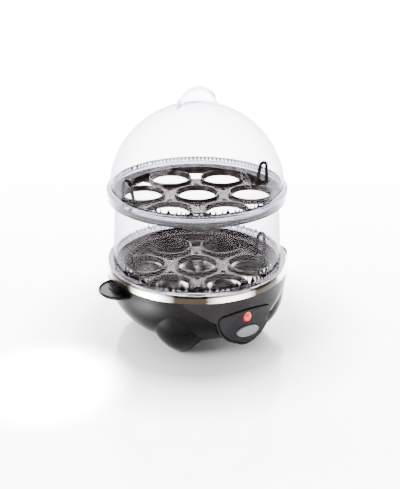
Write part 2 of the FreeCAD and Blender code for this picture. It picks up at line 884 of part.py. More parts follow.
def indicator_lens():
    """Egg-shaped domed lens with a barrel that holds the lamp."""
    face = panel_radius - panel_edge
    back = panel_back_radius - lens_barrel_depth
    lens = oval_turned(
        lens_half_width, lens_half_height, lens_z,
        rz(0, back),
        (rz(lens_half_height, back),),
        (rz(lens_half_height, face),),
        crown_arc(lens_half_height, face, lens_proud),
    )
    bore = rod(lamp_radius + lamp_gap, V(0, -panel_back_radius, lens_z), V(0, -back, lens_z))
    return lens.cut(bore)


def indicator_lamp():
    """Small glass lamp with two leads, inside the lens barrel."""
    front_y = -panel_back_radius + lamp_setback
    back = V(0, front_y + lamp_length, lens_z)
    root = back - ALONG_Y * lamp_lead_root
    body = rod(lamp_radius, V(0, front_y + lamp_radius, lens_z), back)
    tip = Part.makeSphere(lamp_radius, V(0, front_y + lamp_radius, lens_z))
    leads = []
    for side in (-lamp_lead_spread, lamp_lead_spread):
        leads.append(rod(lamp_lead_radius, root + ALONG_X * side,
                         back + ALONG_X * side + ALONG_Y * lamp_lead_length))
    return joined(body, [tip] + leads)


def power_button():
    """Oval push button with a retaining flange and a stem into the switch."""
    flange_front_y = flange_back_y - button_flange_thickness
    shoulder = front_reach - button_crown
    cap = oval_turned(
        button_half_width, button_half_height, button_z,
        rz(0, -flange_back_y),
        (rz(button_half_height, -flange_back_y),),
        (rz(button_half_height, shoulder),),
        crown_arc(button_half_height, shoulder, button_crown),
    )
    flange = oval(button_half_width + button_flange_lip, button_half_height + button_flange_lip,
                  button_z, flange_front_y, flange_back_y)
    stem_end_y = switch_front_y + switch_bore_depth - button_travel - face_gap
    stem = rod(button_stem_radius, V(0, flange_front_y, button_z), V(0, stem_end_y, button_z))
    return joined(cap, [flange, stem])


def tangent_arc(start, along, end):
    """Arc edge that leaves its start along a direction and ends at a point."""
    chord = end - start
    turn = along.getAngle(chord)
    level = V(chord).normalize()
    side = along - level * along.dot(level)
    bulge = side.normalize() * (chord.Length / 2 * math.tan(turn / 2))
    return Part.Arc(start, start + chord / 2 + bulge, end).toShape()


def biarc(start, along, end, arrival):
    """Two tangent arcs from a point and a direction to another point and direction."""
    gap = end - start
    both = along + arrival
    spare = 2 * (1 - along.dot(arrival))
    reach = (math.sqrt(gap.dot(both) ** 2 + spare * gap.dot(gap)) - gap.dot(both)) / spare
    middle = (start + end + (along - arrival) * reach) / 2
    back = tangent_arc(end, -arrival, middle)
    back.reverse()
    return [tangent_arc(start, along, middle), back]


def button_spring():
    """Coil spring round the stem, between the flange and the switch."""
    low = flange_back_y + 2 * spring_wire
    rise = (switch_front_y - 2 * spring_wire - low) / spring_quarters
    slope = rise / math.radians(QUARTER)
    points = []
    directions = []
    for count in range(spring_quarters + 1):
        points.append(on_circle(spring_radius, count * QUARTER, count * rise))
        level = on_circle(spring_radius, (count + 1) * QUARTER)
        directions.append((level + UP * slope).normalize())
    edges = []
    for count in range(spring_quarters):
        edges += biarc(points[count], directions[count], points[count + 1], directions[count + 1])
    section = Part.Wire([Part.makeCircle(spring_wire, points[0], directions[0])])
    coil = Part.Wire(Part.__sortEdges__(edges)).makePipeShell([section], True)
    coil.rotate(CENTRE, ALONG_X, -QUARTER)
    coil.translate(V(0, low, button_z))
    return coil


def power_switch():
    """Push switch with a bore for the button's stem and two blades behind."""
    body = block(switch_half_width, switch_front_y, switch_back_y,
                 button_z - switch_half_height, button_z + switch_half_height)
    bore = rod(button_stem_radius + button_stem_gap, V(0, switch_front_y, button_z),
               V(0, switch_front_y + switch_bore_depth, button_z))
    half = element_blade_width / 2
    blades = []
    for side in (-switch_blade_spread, switch_blade_spread):
        blades.append(block(element_blade_thickness / 2, switch_back_y - button_travel,
                            switch_back_y + switch_blade_length, button_z - half, button_z + half, side))
    return joined(body.cut(bore), blades)


def switch_bracket():
    """Flat plate behind the switch, screwed to the console's two posts."""
    plate_y = switch_back_y + bracket_thickness
    plate = block(bracket_half_width, switch_back_y, plate_y,
                  button_z - bracket_half_height, button_z + bracket_half_height)
    half = element_blade_width / 2
    window = block(switch_blade_spread + half, switch_back_y, plate_y,
                   button_z - half - face_gap, button_z + half + face_gap)
    heads = []
    for side in (-post_spread, post_spread):
        start = V(side, plate_y, button_z)
        heads.append(rod(clip_head_radius, start, start + ALONG_Y * clip_head_height))
    return joined(plate.cut(window), heads)


# Rear inlet and leads

def cord_inlet():
    """Rubber bush with a flange outside, a clip groove inside and a bore."""
    flange_y = front_reach - inlet_flange_thickness
    neck_y = flange_y - inlet_neck_length
    profile = turned(
        rz(inlet_bore_radius, front_reach),
        (rz(inlet_nose_radius, front_reach),),
        (rz(inlet_flange_radius, front_reach - inlet_flange_thickness / 2),),
        (rz(inlet_flange_radius, flange_y),),
        (rz(inlet_neck_radius, flange_y),),
        (rz(inlet_neck_radius, neck_y),),
        (rz(inlet_neck_radius + inlet_clip, neck_y),),
        (rz(inlet_neck_radius, neck_y - inlet_clip_length),),
        (rz(inlet_bore_radius, neck_y - inlet_clip_length),),
    )
    profile.rotate(CENTRE, ALONG_X, -QUARTER)
    profile.translate(V(0, 0, inlet_z))
    return profile


def terminal_block():
    """Three-way screw block on the bottom cover."""
    top = floor_top_z + block_height
    body = block(block_half_width, block_y - block_half_depth, block_y + block_half_depth, floor_top_z, top)
    barrels = []
    mouths = []
    for side in (-barrel_pitch, 0, barrel_pitch):
        foot = V(side, block_y, top - block_height / 2)
        barrels.append(Part.makeCylinder(barrel_radius, block_height / 2 + barrel_height, foot))
        mouths.append(Part.makeCylinder(barrel_screw_radius, barrel_height, V(side, block_y, top)))
    body = joined(body, barrels)
    for mouth in mouths:
        body = body.cut(mouth)
    return body


def lead(points):
    """Insulated lead along straight runs that are joined by tangent arcs."""
    edges = []
    here = points[0]
    for before, corner, after in zip(points, points[1:], points[2:]):
        first = corner - before
        second = after - corner
        turn = first.getAngle(second)
        longest = lead_bend_share * min(first.Length, second.Length)
        tangent = min(longest, lead_bend * math.tan(turn / 2))
        start = corner - first.normalize() * tangent
        end = corner + second.normalize() * tangent
        inward = (second - first).normalize()
        radius = tangent / math.tan(turn / 2)
        middle = corner + inward * (radius / math.cos(turn / 2) - radius)
        edges.append(Part.LineSegment(here, start).toShape())
        edges.append(Part.Arc(start, middle, end).toShape())
        here = end
    edges.append(Part.LineSegment(here, points[-1]).toShape())
    section = Part.Wire([Part.makeCircle(lead_radius, points[0], points[1] - points[0])])
    return Part.Wire(edges).makePipeShell([section], True, True)


def internal_leads():
    """Leads between the block, the switch, the fuse, the thermostat and the element."""
    barrel_z = floor_top_z + block_height
    switch_end_y = switch_back_y + switch_blade_length
    fuse_z = element_z - fuse_radius - seat_gap / 2
    fuse_end = fuse_length / 2 + fuse_lead_length
    hot_z = dish_under_z - thermostat_height - element_blade_length
    slack_z = button_z - lead_bend
    blade_z = element_z - element_leg - element_blade_length
    blade = on_circle(element_circle_radius, element_start)

    def at_fuse(side):
        return [V(side * fuse_end, -fuse_offset, fuse_z), V(side * lead_side_x, -fuse_offset, fuse_z)]

    routes = [
        [V(-barrel_pitch, block_y, barrel_z), V(-barrel_pitch, block_y, button_z),
         V(-switch_blade_spread, lead_front_y, button_z), V(-switch_blade_spread, switch_end_y, button_z)],
        [V(switch_blade_spread, switch_end_y, button_z), V(switch_blade_spread, lead_turn_y, button_z),
         V(lead_side_x, -fuse_offset, button_z + lead_bend)] + at_fuse(1)[::-1],
        at_fuse(-1) + [V(-lead_side_x, lead_slack_y, slack_z),
                       V(0, -thermostat_blade_spread, lead_dip_z), V(0, -thermostat_blade_spread, hot_z)],
        [V(0, thermostat_blade_spread, hot_z), V(0, thermostat_blade_spread, slack_z),
         V(-blade.x, blade.y, lead_low_z), V(-blade.x, blade.y, blade_z)],
        [V(0, block_y, barrel_z), V(0, block_y, lead_low_z + lead_radius),
         V(blade.x, blade.y, lead_dip_z), V(blade.x, blade.y, blade_z)],
    ]
    return Part.makeCompound([lead(route) for route in routes])


# Egg trays

def tangent_point(foot, centre, radius, side):
    """Point where a line from a foot touches a circle in the XZ plane, on one side."""
    away = foot - centre
    angle = math.atan2(away.z, away.x) + side * math.acos(radius / away.Length)
    return centre + V(math.cos(angle), 0, math.sin(angle)) * radius


def tray_loops(seat_z):
    """Two lifting loops, each from the tray's rim over an arch down to its floor."""
    floor_z = seat_z - tray_floor_drop
    low_z = floor_z - tray_floor
    arch_z = floor_z + loop_height - loop_bar_radius - loop_arch_radius
    arch = V(tray_recess_radius - loop_arch_inset, 0, arch_z)
    outer = V(tray_recess_radius + loop_outer_reach, 0, low_z)
    inner = V(tray_recess_radius - loop_inner_inset, 0, low_z)
    outer_touch = tangent_point(outer, arch, loop_arch_radius, 1)
    inner_touch = tangent_point(inner, arch, loop_arch_radius, -1)
    path = Part.Wire([
        Part.LineSegment(outer, outer_touch).toShape(),
        Part.Arc(outer_touch, arch + UP * loop_arch_radius, inner_touch).toShape(),
        Part.LineSegment(inner_touch, inner).toShape(),
    ])
    section = Part.Wire([Part.makeCircle(loop_bar_radius, outer, outer_touch - outer)])
    bar = path.makePipeShell([section], True)
    bed = turned(
        rz(0, low_z - overrun),
        (rz(tray_rim_radius, low_z - overrun),),
        (rz(tray_rim_radius, seat_z + tray_rim_thickness),),
        (rz(tray_recess_radius, seat_z + tray_rim_thickness),),
        (rz(tray_recess_radius, floor_z),),
        (rz(0, floor_z),),
    )
    return Part.makeCompound(around(bar.cut(bed), loop_angles))


def cutout(depth):
    """Steam opening at +X between two outer seats, whose sides follow their collars."""
    outer = tray_recess_radius - cutout_outer_inset
    inner = tray_recess_radius - cutout_inner_inset
    ring = Part.makeCylinder(outer, depth).cut(Part.makeCylinder(inner, depth))
    space = ring.common(Part.makeBox(outer, 2 * cutout_half_width, depth, V(0, -cutout_half_width, 0)))
    for angle in (-seat_angles[0], seat_angles[0]):
        spot = on_circle(egg_pitch, angle)
        space = space.cut(Part.makeCylinder(seat_collar_radius + cutout_margin, depth, spot))
    return space


def egg_tray(seat_z):
    """Tray with seven egg seats, steam holes, cut-outs and a slot under each loop."""
    floor_z = seat_z - tray_floor_drop
    under_z = floor_z - tray_floor
    top_z = seat_z + tray_rim_thickness
    tray = turned(
        rz(0, under_z),
        (rz(tray_spigot_radius, under_z),),
        (rz(tray_spigot_radius, seat_z),),
        (rz(tray_rim_radius, seat_z),),
        (rz(tray_rim_radius, top_z),),
        (rz(tray_recess_radius, top_z),),
        (rz(tray_recess_radius, floor_z),),
        (rz(0, floor_z),),
    )
    spots = [CENTRE] + [on_circle(egg_pitch, angle) for angle in seat_angles]
    depth = tray_floor + seat_collar_height
    collars = []
    cuts = []
    for spot in spots:
        low = spot + UP * under_z
        collars.append(Part.makeCylinder(seat_collar_radius, depth, low))
        cuts.append(Part.makeCone(seat_throat_radius, seat_mouth_radius, depth, low))
    tray = joined(tray, collars)
    for angle in steam_hole_angles:
        spot = on_circle(steam_hole_circle, angle, under_z)
        cuts.append(Part.makeCylinder(steam_hole_radius, tray_floor, spot))
    for angle in side_hole_angles:
        spot = on_circle(tray_recess_radius - side_hole_inset, angle, under_z)
        cuts.append(Part.makeCylinder(side_hole_radius, tray_floor, spot))
    flat_cuts = around(cutout(tray_floor), cutout_angles)
    slot_length = loop_slot_inner_inset - loop_slot_outer_inset
    corner = V(tray_recess_radius - loop_slot_inner_inset, -loop_slot_half_width, 0)
    slot = Part.makeBox(slot_length, 2 * loop_slot_half_width, tray_floor, corner)
    flat_cuts += around(slot, loop_angles)
    for cut in flat_cuts:
        cut.translate(UP * under_z)
    for cut in cuts + flat_cuts:
        tray = tray.cut(cut)
    return tray


# Clear stack

def tier_ring():
    """Clear ring with a lip inside the steel rim, a foot flange, a neck and a seat collar."""
    foot_inner = ring_foot_radius - clear_wall
    neck_inner = ring_neck_radius - clear_wall
    lip_outer = pan_wall_radius - lip_gap
    flange_r = ring_flange_radius - ring_round
    flange_z = ring_z + ring_flange_height - ring_round
    collar_r = ring_collar_radius - ring_round
    return turned(
        rz(foot_inner, ring_z),
        (rz(lip_outer - clear_wall, ring_z),),
        (rz(lip_outer - clear_wall, ring_z - lip_depth),),
        (rz(lip_outer, ring_z - lip_depth),),
        (rz(lip_outer, ring_z),),
        (rz(flange_r, ring_z),),
        bend(flange_r, ring_z + ring_round, ring_round, -EIGHTH, 0),
        (rz(ring_flange_radius, flange_z),),
        bend(flange_r, flange_z, ring_round, EIGHTH, QUARTER),
        (rz(ring_foot_radius, ring_z + ring_flange_height),),
        (rz(ring_neck_radius, ring_step_z),),
        (rz(collar_r, ring_step_z),),
        bend(collar_r, ring_step_z + ring_round, ring_round, -EIGHTH, 0),
        (rz(ring_collar_radius, dome_z),),
        (rz(ring_collar_radius - clear_wall, dome_z),),
        (rz(ring_collar_radius - clear_wall, upper_seat_z),),
        (rz(neck_inner, upper_seat_z),),
        (rz(neck_inner, ring_step_z),),
    )


def dome_arcs():
    """Heights and angle of the two tangent arcs of the dome's outside."""
    crown_z = apex_z - dome_crown_radius
    shoulder_r = dome_wall_radius - dome_shoulder_radius
    rise = math.sqrt((dome_crown_radius - dome_shoulder_radius) ** 2 - shoulder_r ** 2)
    angle = math.degrees(math.atan2(rise, shoulder_r))
    return crown_z, crown_z + rise, angle


def dome_lid():
    """Clear dome with a foot flange and a lip inside the ring's collar."""
    crown_z, shoulder_z, angle = dome_arcs()
    shoulder_r = dome_wall_radius - dome_shoulder_radius
    flange_top = dome_z + dome_flange_height
    flange_r = dome_flange_radius - ring_round
    foot_r = dome_wall_radius + dome_foot_round
    lip_outer = ring_collar_radius - clear_wall - lip_gap
    inner_r = dome_wall_radius - dome_wall
    return turned(
        rz(inner_r, dome_z),
        (rz(lip_outer - clear_wall, dome_z),),
        (rz(lip_outer - clear_wall, dome_z - lip_depth),),
        (rz(lip_outer, dome_z - lip_depth),),
        (rz(lip_outer, dome_z),),
        (rz(flange_r, dome_z),),
        bend(flange_r, dome_z + ring_round, ring_round, -EIGHTH, 0),
        (rz(dome_flange_radius, flange_top - ring_round),),
        bend(flange_r, flange_top - ring_round, ring_round, EIGHTH, QUARTER),
        (rz(foot_r, flange_top),),
        bend(foot_r, flange_top + dome_foot_round, dome_foot_round, -QUARTER - EIGHTH, -HALF),
        (rz(dome_wall_radius, shoulder_z),),
        bend(shoulder_r, shoulder_z, dome_shoulder_radius, angle / 2, angle),
        bend(0, crown_z, dome_crown_radius, (angle + QUARTER) / 2, QUARTER),
        (rz(0, apex_z - dome_wall),),
        bend(0, crown_z, dome_crown_radius - dome_wall, (angle + QUARTER) / 2, angle),
        bend(shoulder_r, shoulder_z, dome_shoulder_radius - dome_wall, angle / 2, 0),
    )


def lid_handle():
    """Clear half-round fin on the crown, with a thin web and a thicker rim."""
    crown_z = dome_arcs()[0]
    foot_z = crown_z + math.sqrt(dome_crown_radius ** 2 - fin_half_length ** 2)
    fin_top = apex_z + fin_height
    rise = fin_top - foot_z
    radius = (fin_half_length ** 2 + rise ** 2) / (2 * rise)
    centre = V(0, 0, foot_z + rise - radius)

    def disc(size, thickness):
        return rod(size, centre - ALONG_Y * (thickness / 2), centre + ALONG_Y * (thickness / 2))

    fin = disc(radius, fin_rim_thickness)
    for side in (-1, 1):
        pocket = disc(radius - fin_rim, fin_rim_thickness)
        pocket.translate(ALONG_Y * side * (fin_rim_thickness + fin_web_thickness) / 2)
        fin = fin.cut(pocket)
    crown = Part.makeSphere(dome_crown_radius + fin_sink, V(0, 0, crown_z))
    upper = block(front_reach, -fin_half_length, fin_half_length, foot_z - overrun, fin_top)
    return fin.cut(crown).common(upper)


# Nodes
shell = housing_shell()
nodes = {
    "base_housing": shell.cut(console_space(seat_gap)).cut(boss_space(seat_gap)),
    "front_console": shell.common(console_space()),
    "inlet_boss": shell.common(boss_space()),
    "foot_lobes": foot_lobes(),
    "inner_posts": inner_posts(),
    "bottom_cover": bottom_cover(),
    "bottom_screws": bottom_screws(),
    "rubber_feet": rubber_feet(),
    "left_handle": side_handle(-1),
    "right_handle": side_handle(1),
    "heating_plate": heating_plate(),
    "plate_gasket": plate_gasket(),
    "plate_nuts": plate_nuts(),
    "heating_element": heating_element(),
    "thermostat": thermostat(),
    "thermostat_clip": thermostat_clip(),
    "thermal_fuse": thermal_fuse(),
    "control_panel": control_panel(),
    "indicator_lens": indicator_lens(),
    "indicator_lamp": indicator_lamp(),
    "power_button": power_button(),
    "button_spring": button_spring(),
    "power_switch": power_switch(),
    "switch_bracket": switch_bracket(),
    "cord_inlet": cord_inlet(),
    "terminal_block": terminal_block(),
    "internal_leads": internal_leads(),
    "lower_egg_tray": egg_tray(lower_seat_z),
    "lower_tray_loops": tray_loops(lower_seat_z),
    "tier_ring": tier_ring(),
    "upper_egg_tray": egg_tray(upper_seat_z),
    "upper_tray_loops": tray_loops(upper_seat_z),
    "dome_lid": dome_lid(),
    "lid_handle": lid_handle(),
}

os.makedirs("parts", exist_ok=True)
for name, shape in nodes.items():
    box = shape.BoundBox
    size = (round(box.XLength, 2), round(box.YLength, 2), round(box.ZLength, 2))
    print(name, len(shape.Solids), shape.isValid(), round(shape.Volume), size, round(box.ZMin, 2))
    shape.exportStep("parts/" + name + ".step")
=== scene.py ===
import math

import bpy
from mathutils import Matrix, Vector


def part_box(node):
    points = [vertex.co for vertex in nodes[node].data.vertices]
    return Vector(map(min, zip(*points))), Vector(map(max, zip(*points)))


# Two-tier electric egg boiler on a plain pale table. Metres, +Z up, front towards -Y.

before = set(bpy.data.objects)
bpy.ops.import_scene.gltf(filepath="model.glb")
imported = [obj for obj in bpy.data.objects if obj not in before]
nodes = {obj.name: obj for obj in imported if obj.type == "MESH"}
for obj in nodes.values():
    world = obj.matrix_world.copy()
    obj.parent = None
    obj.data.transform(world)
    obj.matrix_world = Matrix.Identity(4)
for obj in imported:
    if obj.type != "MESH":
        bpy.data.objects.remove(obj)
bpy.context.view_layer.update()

mm = 0.001

# View of the photograph, whose frame is 400 by 489 pixels
photo_width = 400
photo_height = 489
sensor = 36.0
focal_pixels = 886.0
axis_pixel_x = 197.0
view_distance = 811 * mm
view_elevation = math.radians(23.5)
view_azimuth = math.radians(-31.3)
target = Vector((0.0, 0.0, 81 * mm))
near_clip = 0.01
far_clip = 50.0

# Sheet of the table, flat in front and turned up far behind the boiler
sheet_reach = 4.0
sheet_back = 2.2
sheet_rise = 3.0
sheet_curve = 0.9
sheet_steps = 24
sheet_color = (0.90, 0.90, 0.905)
sheet_ior = 1.5

# Glow of the pale table: none close round the boiler, which leaves a painted shade at its foot, rising to
# full further out; a painted pool of light at its left, whose reflection is the bowl's highlight; glow far
# behind it; and the surroundings
table_glow = 6.0
painted_shade_edge = 95 * mm
painted_shade_fade_end = 170 * mm
painted_pool_glow = 60.0
painted_pool_azimuth = math.radians(-50)
painted_pool_distance = 165 * mm
painted_pool_core = 5 * mm
painted_pool_reach = 80 * mm
back_glow = 6.0
back_reach = 800 * mm
world_strength = 0.3

# Lights: their sizes in metres, watts, distance, turn from the camera and elevation
light_aim = Vector((0.0, 0.0, 90 * mm))
key_size = (0.45, 0.6)
key_watts = 20.0
key_distance = 1.1
key_turn = math.radians(-56)
key_elevation = math.radians(30)
strip_size = (0.2, 0.9)
strip_watts = 7.0
strip_distance = 1.2
strip_turn = math.radians(70)
strip_elevation = math.radians(18)
top_size = (1.2, 1.2)
top_watts = 12.0
top_place = Vector((0.0, 0.1, 1.4))

# Faces of the housing that count as its apron, which get a lighter copy of the housing black as a painted
# reflection
apron_radius = 82.5 * mm
apron_tilt = 0.2

# Painted highlights and painted shade on the brushed steel: a fan of light and dark round the axis, painted
# into its colour
painted_sheen_fan_count = 7
painted_sheen_fan_start = math.radians(-151)
painted_shade_shares = (0.025, 0.021, 0.017)
painted_sheen_fan_weight = 0.85
painted_sheen_drift_weight = 0.3
painted_shade_end = 0.4
painted_highlight_start = 0.95

# Clear plastic: coat, and roughness between shares of the stated one
clear_coat = 0.12
haze_low_share = 0.6
haze_high_share = 1.8

# Rubber: how far its roughness drifts below and above the stated one
rubber_below = 0.12
rubber_above = 0.1

# Glow of the red lens from its foot to its top, with a painted highlight at its pale top, and the strength of
# its glow
lens_glow_painted_highlight_stops = (
    (0.1, (0.25, 0.001, 0.001)),
    (0.55, (0.80, 0.004, 0.003)),
    (0.85, (0.95, 0.03, 0.02)),
    (1.0, (1.0, 0.40, 0.35)),
)
lens_glow = 0.9
lens_speck = 0.16

# Heights of the clear flanges, which get a darker copy of the clear plastic as painted shade
foot_flange_z = 72.5 * mm
collar_z = 128.8 * mm
dome_flange_z = 140.5 * mm


# Material building

class Look:
    """A node material with one Principled shader, and short ways to add detail to it."""

    def __init__(self, name, color, roughness, **sockets):
        self.material = bpy.data.materials.new(name)
        self.material.use_nodes = True
        self.tree = self.material.node_tree
        self.shader = self.tree.nodes["Principled BSDF"]
        self.color = color
        self.set("Base Color", (*color, 1.0))
        self.set("Roughness", roughness)
        for socket, value in sockets.items():
            self.set(socket.replace("_", " "), value)
        self.place = self.add("ShaderNodeTexCoord").outputs["Object"]

    def add(self, kind, **settings):
        node = self.tree.nodes.new(kind)
        for key, value in settings.items():
            setattr(node, key, value)
        return node

    def join(self, start, end):
        self.tree.links.new(start, end)

    def set(self, socket, value):
        self.shader.inputs[socket].default_value = value

    def math(self, operation, first, second=None):
        """Output of a math node whose inputs are numbers or other outputs."""
        node = self.add("ShaderNodeMath", operation=operation)
        for index, value in enumerate((first, second)):
            if value is None:
                continue
            if isinstance(value, (int, float)):
                node.inputs[index].default_value = value
            else:
                self.join(value, node.inputs[index])
        return node.outputs[0]

    def length(self, across, along):
        """Length of a flat vector from its two parts."""
        squares = self.math("MULTIPLY", across, across), self.math("MULTIPLY", along, along)
        return self.math("SQRT", self.math("ADD", *squares))

    def noise(self, scale, detail, rough, place=None):
        """Noise at a scale in cells per metre."""
        node = self.add("ShaderNodeTexNoise")
        node.inputs["Scale"].default_value = scale
        node.inputs["Detail"].default_value = detail
        node.inputs["Roughness"].default_value = rough
        self.join(place or self.place, node.inputs["Vector"])
        return node.outputs["Fac"]

    def spread(self, value, low, high, start=0.3, end=0.7):
        """A value between start and end mapped to low and high."""
        node = self.add("ShaderNodeMapRange")
        for index, number in enumerate((start, end, low, high)):
            node.inputs[index + 1].default_value = number
        self.join(value, node.inputs[0])
        return node.outputs[0]

    def ramp(self, value, *stops):
        """Colours along a value: each stop is a place and a colour."""
        node = self.add("ShaderNodeValToRGB")
        elements = node.color_ramp.elements
        while len(elements) < len(stops):
            elements.new(0.5)
        for element, (place, color) in zip(elements, stops):
            element.position = place
            element.color = (*color, 1.0)
        self.join(value, node.inputs[0])
        return node.outputs[0]

    def tint(self, value, lighter, darker):
        """Base colour that drifts between a lighter and a darker shade."""
        low = tuple(part * darker for part in self.color)
        high = tuple(min(part * lighter, 1.0) for part in self.color)
        self.join(self.ramp(value, (0.3, low), (0.7, high)), self.shader.inputs["Base Color"])

    def gloss(self, value, low, high):
        """Roughness that drifts between two values."""
        self.join(self.spread(value, low, high), self.shader.inputs["Roughness"])

    def bump(self, value, strength, depth):
        """Bump of a height map, stacked on any bump that is there already."""
        node = self.add("ShaderNodeBump")
        node.inputs["Strength"].default_value = strength
        node.inputs["Distance"].default_value = depth
        self.join(value, node.inputs["Height"])
        links = self.shader.inputs["Normal"].links
        if links:
            self.join(links[0].from_socket, node.inputs["Normal"])
        self.join(node.outputs[0], self.shader.inputs["Normal"])

    def painted_sheen_wave(self, count, start):
        """Wave between -1 and 1 that repeats round the axis, with a crest at the start angle."""
        split = self.add("ShaderNodeSeparateXYZ")
        self.join(self.place, split.inputs[0])
        angle = self.math("ARCTAN2", split.outputs[1], split.outputs[0])
        return self.math("COSINE", self.math("MULTIPLY", self.math("SUBTRACT", angle, start), count))

    def turned_place(self, around, along):
        """Coordinates of radius, angle and height, for marks that run round the axis."""
        split = self.add("ShaderNodeSeparateXYZ")
        self.join(self.place, split.inputs[0])
        x, y, z = split.outputs
        radius = self.length(x, y)
        angle = self.math("ARCTAN2", y, x)
        merge = self.add("ShaderNodeCombineXYZ")
        self.join(self.math("MULTIPLY", radius, along), merge.inputs[0])
        self.join(self.math("MULTIPLY", angle, around), merge.inputs[1])
        self.join(self.math("MULTIPLY", z, along), merge.inputs[2])
        return merge.outputs[0]


def clear_plastic(name, color, roughness, body_color=(0.42, 0.42, 0.50), density=22.0, ior=1.22):
    """Clear moulded plastic that is darker edge-on, with faint flow marks and handling haze."""
    look = Look(name, color, roughness, Transmission_Weight=1.0, IOR=ior, Coat_Weight=clear_coat)
    depth = look.add("ShaderNodeVolumeAbsorption")
    depth.inputs["Color"].default_value = (*body_color, 1.0)
    depth.inputs["Density"].default_value = density
    look.join(depth.outputs[0], look.tree.nodes["Material Output"].inputs["Volume"])
    haze = look.noise(scale=38, detail=6, rough=0.6)
    look.gloss(haze, roughness * haze_low_share, roughness * haze_high_share)
    look.bump(look.noise(scale=14, detail=2, rough=0.4), strength=0.12, depth=0.0004)
    return look.material


def gloss_plastic(name, color, low, high, ior):
    """Moulded gloss plastic with soft waviness, dust and a fine grain."""
    look = Look(name, color, low, IOR=ior)
    look.gloss(look.noise(scale=26, detail=7, rough=0.62), low, high)
    look.tint(look.noise(scale=60, detail=5, rough=0.6), lighter=1.25, darker=0.8)
    look.bump(look.noise(scale=20, detail=2, rough=0.4), strength=0.08, depth=0.0005)
    look.bump(look.noise(scale=1600, detail=3, rough=0.6), strength=0.05, depth=0.00004)
    return look.material


def satin_plastic(name, color, low, high, grain=1900, depth=0.00008, ior=1.48):
    """Satin plastic with spark-eroded grain."""
    look = Look(name, color, low, IOR=ior)
    look.gloss(look.noise(scale=45, detail=6, rough=0.6), low, high)
    look.tint(look.noise(scale=75, detail=5, rough=0.6), lighter=1.18, darker=0.85)
    look.bump(look.noise(scale=grain, detail=4, rough=0.7), strength=0.25, depth=depth)
    return look.material


def brushed_metal_painted_sheen(name, color, low, high, around=4.0, along=5200.0):
    """Metal brushed in circles about the axis, with a fan of painted highlights and painted shade round it,
    painted into its base colour.
    """
    look = Look(name, color, low, Metallic=1.0)
    lines = look.noise(scale=1.0, detail=3, rough=0.7, place=look.turned_place(around, along))
    look.gloss(lines, low, high)
    painted_sheen_wave = look.spread(look.painted_sheen_wave(painted_sheen_fan_count, painted_sheen_fan_start), low=0.0, high=1.0, start=-1.0, end=1.0)
    painted_sheen_bands = look.noise(scale=1.0, detail=4, rough=0.6, place=look.turned_place(around * 1.5, along / 3))
    painted_sheen_drift = look.math("MULTIPLY", painted_sheen_bands, painted_sheen_drift_weight)
    shade = look.math("ADD", look.math("MULTIPLY", painted_sheen_wave, painted_sheen_fan_weight), painted_sheen_drift)
    # Painted shade in the troughs of the fan and painted highlights at its crests
    dark = tuple(part * share for part, share in zip(color, painted_shade_shares))
    painted_sheen_tone = look.ramp(shade, (painted_shade_end, dark), (painted_highlight_start, color))
    look.join(painted_sheen_tone, look.shader.inputs["Base Color"])
    look.bump(lines, strength=0.18, depth=0.00006)
    look.bump(look.noise(scale=30, detail=3, rough=0.5), strength=0.04, depth=0.0004)
    return look.material


def plain_metal(name, color, low, high):
    """Plated or cast metal with mottled shine."""
    look = Look(name, color, low, Metallic=1.0)
    look.gloss(look.noise(scale=240, detail=5, rough=0.6), low, high)
    look.tint(look.noise(scale=320, detail=4, rough=0.6), lighter=1.1, darker=0.8)
    look.bump(look.noise(scale=1400, detail=3, rough=0.6), strength=0.15, depth=0.00008)
    return look.material


def rubber(name, color, rough):
    """Soft rubber with a dusty grain."""
    look = Look(name, color, rough, IOR=1.45)
    look.gloss(look.noise(scale=180, detail=5, rough=0.6), rough - rubber_below, rough + rubber_above)
    look.tint(look.noise(scale=260, detail=5, rough=0.7), lighter=1.5, darker=0.7)
    look.bump(look.noise(scale=2200, detail=3, rough=0.6), strength=0.3, depth=0.0001)
    return look.material


def lit_lens(name, low_z, high_z):
    """Translucent red lens, lit from behind, its glow painted paler at its top as a highlight and deeper
    towards its foot.
    """
    look = Look(name, (0.35, 0.01, 0.01), 0.12, IOR=1.4)
    split = look.add("ShaderNodeSeparateXYZ")
    look.join(look.place, split.inputs[0])
    height = look.spread(split.outputs[2], low=0.0, high=1.0, start=low_z, end=high_z)
    speck = look.math("MULTIPLY", look.noise(scale=600, detail=3, rough=0.5), lens_speck)
    glow = look.ramp(look.math("ADD", height, speck), *lens_glow_painted_highlight_stops)
    look.join(glow, look.shader.inputs["Emission Color"])
    look.set("Emission Strength", lens_glow)
    look.gloss(look.noise(scale=200, detail=4, rough=0.5), low=0.08, high=0.2)
    return look.material


def paint(node, material, second=None, is_second=None):
    """Gives a frame node one material, and the faces that a test picks a second one."""
    mesh = nodes[node].data
    mesh.materials.clear()
    mesh.materials.append(material)
    if second:
        mesh.materials.append(second)
    for polygon in mesh.polygons:
        polygon.material_index = 1 if second and is_second(polygon) else 0


def on_painted_sheen_apron(polygon):
    """True for the round faces of the apron and the console, which stand proud of the bowl and get the
    painted reflection.
    """
    x, y = polygon.center[:2]
    return y < 0 and math.hypot(x, y) > apron_radius and abs(polygon.normal.z) < apron_tilt


def on_ring_flange(polygon):
    """True for the clear ring's foot flange and its collar."""
    height = polygon.center.z
    return height < foot_flange_z or height > collar_z


def on_dome_flange(polygon):
    """True for the dome's flange."""
    return polygon.center.z < dome_flange_z


